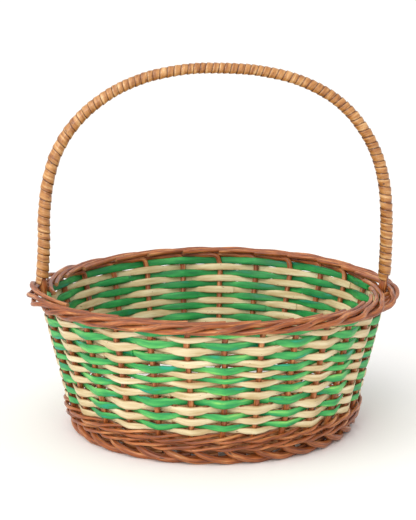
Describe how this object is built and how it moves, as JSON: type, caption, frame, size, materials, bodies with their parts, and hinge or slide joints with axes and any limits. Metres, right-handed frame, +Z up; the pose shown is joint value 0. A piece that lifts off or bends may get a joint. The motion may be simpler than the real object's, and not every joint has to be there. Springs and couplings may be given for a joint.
{
  "type": "easter basket",
  "caption": "Round woven willow basket with green and natural flat-strip weave, rolled rim, looped foot and a fixed cane-wrapped bow handle.",
  "frame": {"origin": "on the floor, at the middle of the basket's foot", "axes": "+Z up out of the basket's mouth, X along the span of the bow handle, -Y towards the front"},
  "size_m": [0.3022, 0.2989, 0.2973],
  "materials": {
    "brown_willow": "smooth peeled and boiled willow rod",
    "green_strip": "green-dyed split strip",
    "natural_strip": "undyed split strip",
    "golden_cane": "glossy split cane wrap",
    "base_willow": "peeled willow rod"
  },
  "bodies": {
    "root": {"stake_01": "brown_willow", "stake_02": "brown_willow", "stake_03": "brown_willow", "stake_04": "brown_willow", "stake_05": "brown_willow", "stake_06": "brown_willow", "stake_07": "brown_willow", "stake_08": "brown_willow", "stake_09": "brown_willow", "stake_10": "brown_willow", "stake_11": "brown_willow", "stake_12": "brown_willow", "stake_13": "brown_willow", "stake_14": "brown_willow", "stake_15": "brown_willow", "stake_16": "brown_willow", "stake_17": "brown_willow", "stake_18": "brown_willow", "stake_19": "brown_willow", "stake_20": "brown_willow", "stake_21": "brown_willow", "stake_22": "brown_willow", "stake_23": "brown_willow", "stake_24": "brown_willow", "stake_25": "brown_willow", "stake_26": "brown_willow", "stake_27": "brown_willow", "stake_28": "brown_willow", "green_weaver_1": "green_strip", "green_weaver_2": "green_strip", "green_weaver_3": "green_strip", "green_weaver_4": "green_strip", "green_weaver_5": "green_strip", "green_weaver_6": "green_strip", "green_weaver_7": "green_strip", "green_weaver_8": "green_strip", "green_weaver_9": "green_strip", "natural_weaver_1": "natural_strip", "natural_weaver_2": "natural_strip", "natural_weaver_3": "natural_strip", "natural_weaver_4": "natural_strip", "natural_weaver_5": "natural_strip", "natural_weaver_6": "natural_strip", "natural_weaver_7": "natural_strip", "natural_weaver_8": "natural_strip", "natural_weaver_9": "natural_strip", "wale_rod_1": "brown_willow", "wale_rod_2": "brown_willow", "wale_rod_3": "brown_willow", "handle_core": "brown_willow", "handle_wrap": "golden_cane", "base_stick_1": "base_willow", "base_stick_2": "base_willow", "base_stick_3": "base_willow", "base_stick_4": "base_willow", "base_stick_5": "base_willow", "base_stick_6": "base_willow", "base_stick_7": "base_willow", "base_weaver_1": "base_willow", "base_weaver_2": "base_willow"}
  },
  "joints": []
}
